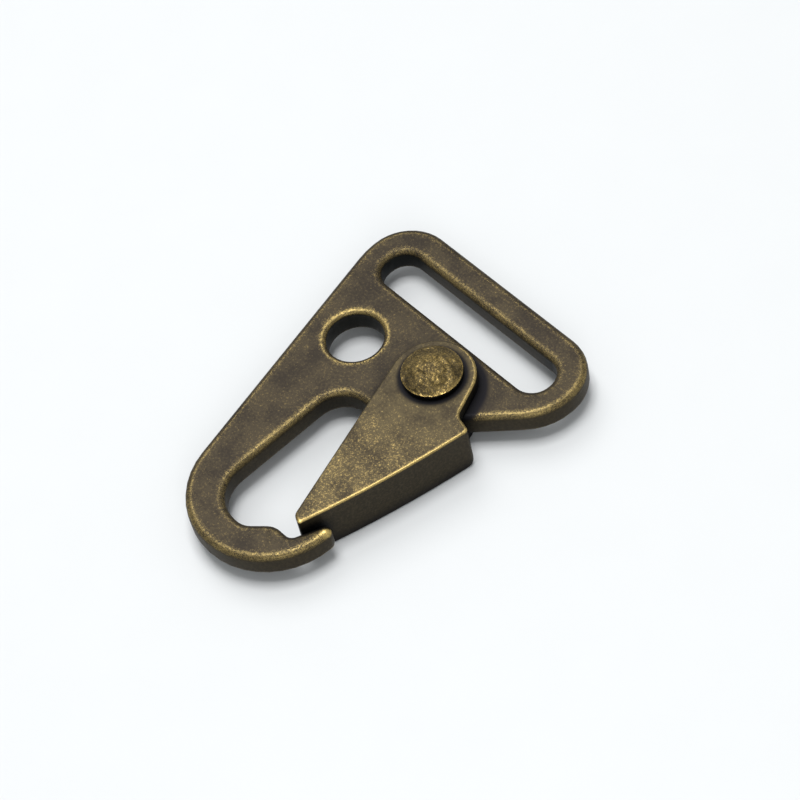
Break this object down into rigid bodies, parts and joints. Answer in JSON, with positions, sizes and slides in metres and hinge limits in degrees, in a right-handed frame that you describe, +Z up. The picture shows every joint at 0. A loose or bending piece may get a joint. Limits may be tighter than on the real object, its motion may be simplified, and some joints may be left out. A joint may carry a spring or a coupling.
{
  "type": "snap hook",
  "caption": "Antique-brass snap hook for flat webbing, with a sprung gate on a domed rivet that closes the hook's mouth.",
  "frame": {"origin": "middle of the webbing slot in plan, on the face that the hook lies on", "axes": "+X along the slot, toward the gate's side; +Y away from the hook; +Z up through the plate, toward the rivet's domed head"},
  "size_m": [0.0316, 0.0437, 0.0079],
  "materials": {
    "cast_plate": "dark antique patina, worn to bright brass on the edges",
    "gate_metal": "speckled antique patina, worn to bright brass along the fold",
    "rivet_metal": "rubbed antique patina",
    "spring_wire": "drawn spring wire"
  },
  "bodies": {
    "plate": {"hook_plate": "cast_plate", "rivet": "rivet_metal", "spring": "spring_wire"},
    "gate": {"gate": "gate_metal"}
  },
  "joints": [
    {"name": "gate_hinge", "type": "hinge", "parent": "plate", "child": "gate", "pos_m": [0.0037, -0.0081, 0.00305], "axis": [0, 0, 1], "range_deg": [-24, 0], "stiffness_Nm_per_rad": 0.06, "springref_deg": 20.05, "deforming": ["spring"]}
  ]
}
